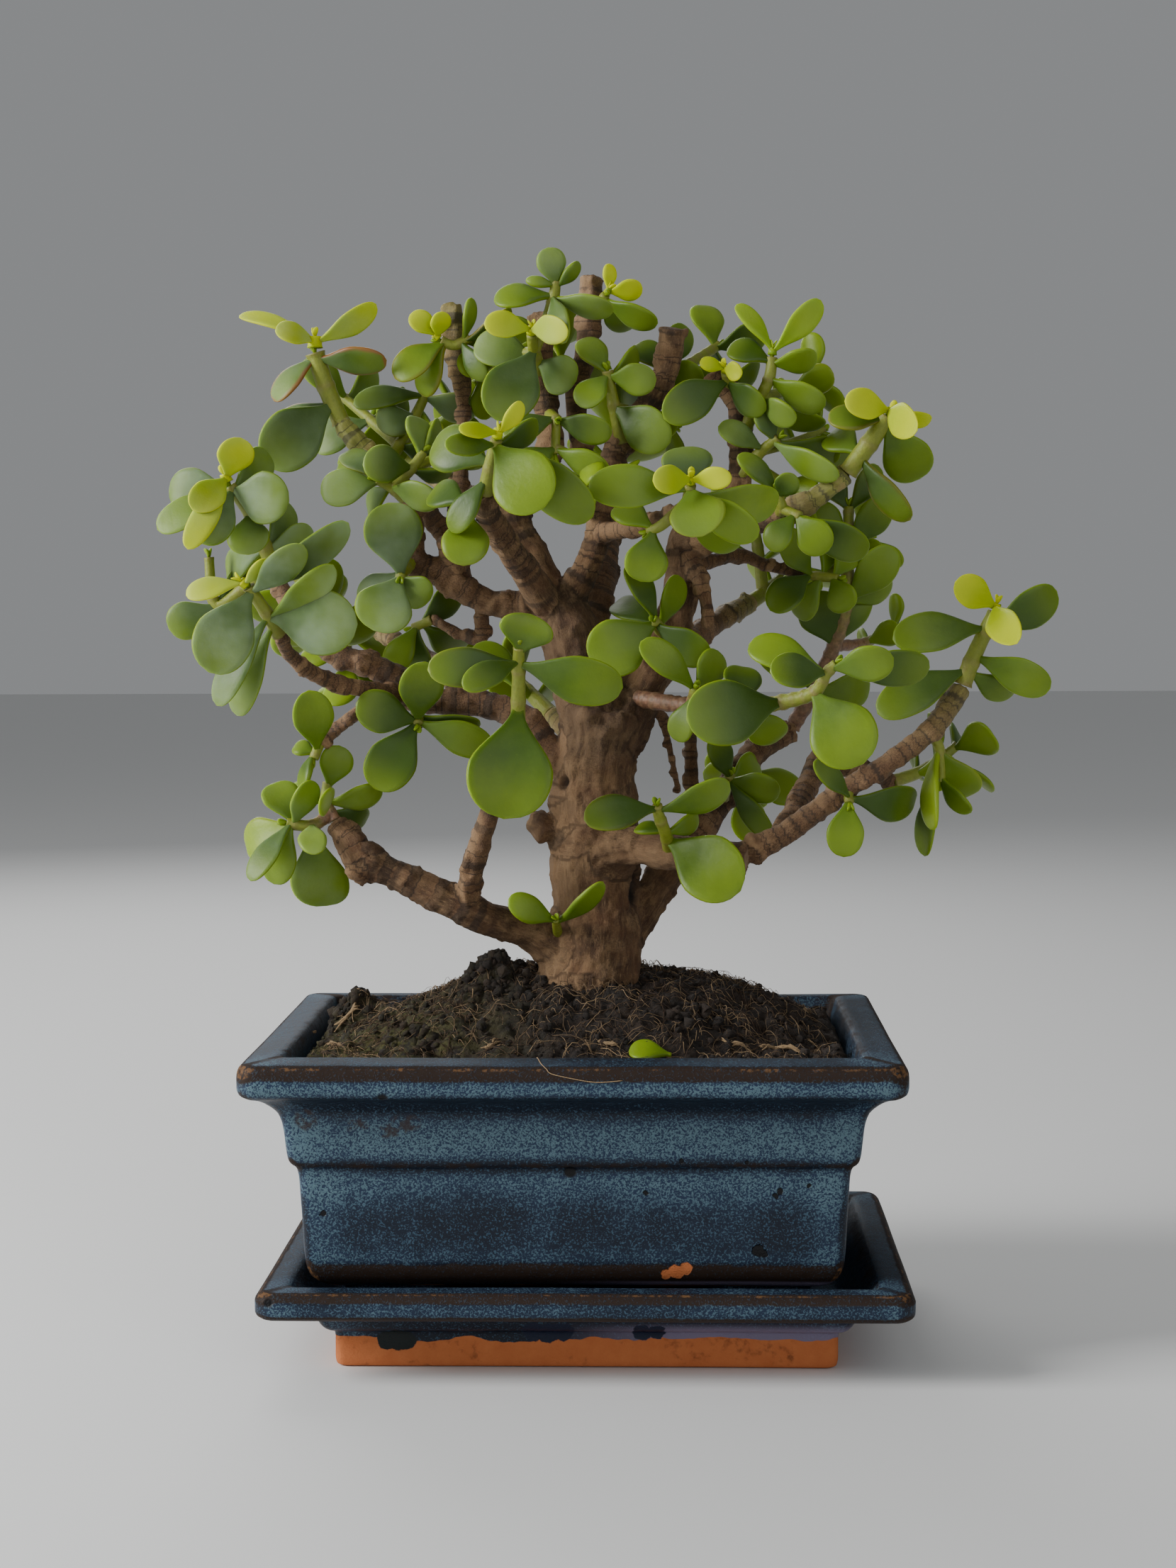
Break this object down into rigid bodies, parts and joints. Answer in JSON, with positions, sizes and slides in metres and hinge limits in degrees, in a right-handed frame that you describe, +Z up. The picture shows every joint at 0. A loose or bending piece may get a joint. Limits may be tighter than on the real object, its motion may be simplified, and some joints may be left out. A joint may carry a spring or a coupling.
{
  "type": "dwarf jade bonsai",
  "caption": "Small multi-stemmed succulent bonsai tree with fleshy leaves, in a rectangular footed pot of blue glaze on a matching saucer.",
  "frame": {"origin": "centre of the pot, at the surface that the saucer stands on", "axes": "+Z up, +X along the pot's long side to the viewer's right, +Y towards the back"},
  "size_m": [0.2201, 0.1292, 0.2716],
  "materials": {
    "glaze": "gloss, speckled blue over brown",
    "peat": "rough, dark and crumbly",
    "bark": "rough, finely cracked",
    "leaf": "satin, fleshy",
    "young_leaf": "satin, fleshy"
  },
  "bodies": {
    "root": {"saucer": "glaze", "pot": "glaze", "soil": "peat", "trunk": "bark", "fallen_leaf": "leaf", "baseSprout_leaves": "leaf", "behindStump_leaves": "leaf", "buttressLeaves_leaves": "leaf", "centreNode_leaves": "leaf", "crownPair_leaves": "leaf", "crownPair_young": "young_leaf", "crownPost_leaves": "leaf", "crownPost_young": "young_leaf", "droopTip_leaves": "leaf", "edgeLeaves_leaves": "leaf", "frontCross_leaves": "leaf", "frontLeftCloud_leaves": "leaf", "frontLeftCloud_young": "young_leaf", "frontMass_leaves": "leaf", "frontMass_young": "young_leaf", "frontRight_leaves": "leaf", "frontYellow_leaves": "leaf", "frontYellow_young": "young_leaf", "innerPost_leaves": "leaf", "innerTuft_leaves": "leaf", "leftCloud_leaves": "leaf", "leftCloud_young": "young_leaf", "leftNode_leaves": "leaf", "leftPostFront_leaves": "leaf", "leftPostFront_young": "young_leaf", "limeSprig_leaves": "leaf", "limeSprig_young": "young_leaf", "lowFront_leaves": "leaf", "lowLeft_leaves": "leaf", "midCrown_leaves": "leaf", "midLeftFan_leaves": "leaf", "paleLeaf_leaves": "leaf", "rearButtress_leaves": "leaf", "rearCrown_leaves": "leaf", "rearFarLeft_leaves": "leaf", "rearLeft_leaves": "leaf", "rearLow_leaves": "leaf", "rearMiddle_leaves": "leaf", "rearRight_leaves": "leaf", "rearShelf_leaves": "leaf", "rearTwig_leaves": "leaf", "rightEnd_leaves": "leaf", "rightEnd_young": "young_leaf", "rightLong_leaves": "leaf", "rightPost_leaves": "leaf", "rightSmall_leaves": "leaf", "rightStump_leaves": "leaf", "rightStump_young": "young_leaf", "shelfTip_leaves": "leaf", "topLeftTuft_leaves": "leaf", "topLeft_leaves": "leaf", "topLeft_young": "young_leaf", "underArm_leaves": "leaf", "upperRightTip_leaves": "leaf", "upperRightTip_young": "young_leaf"}
  },
  "joints": []
}
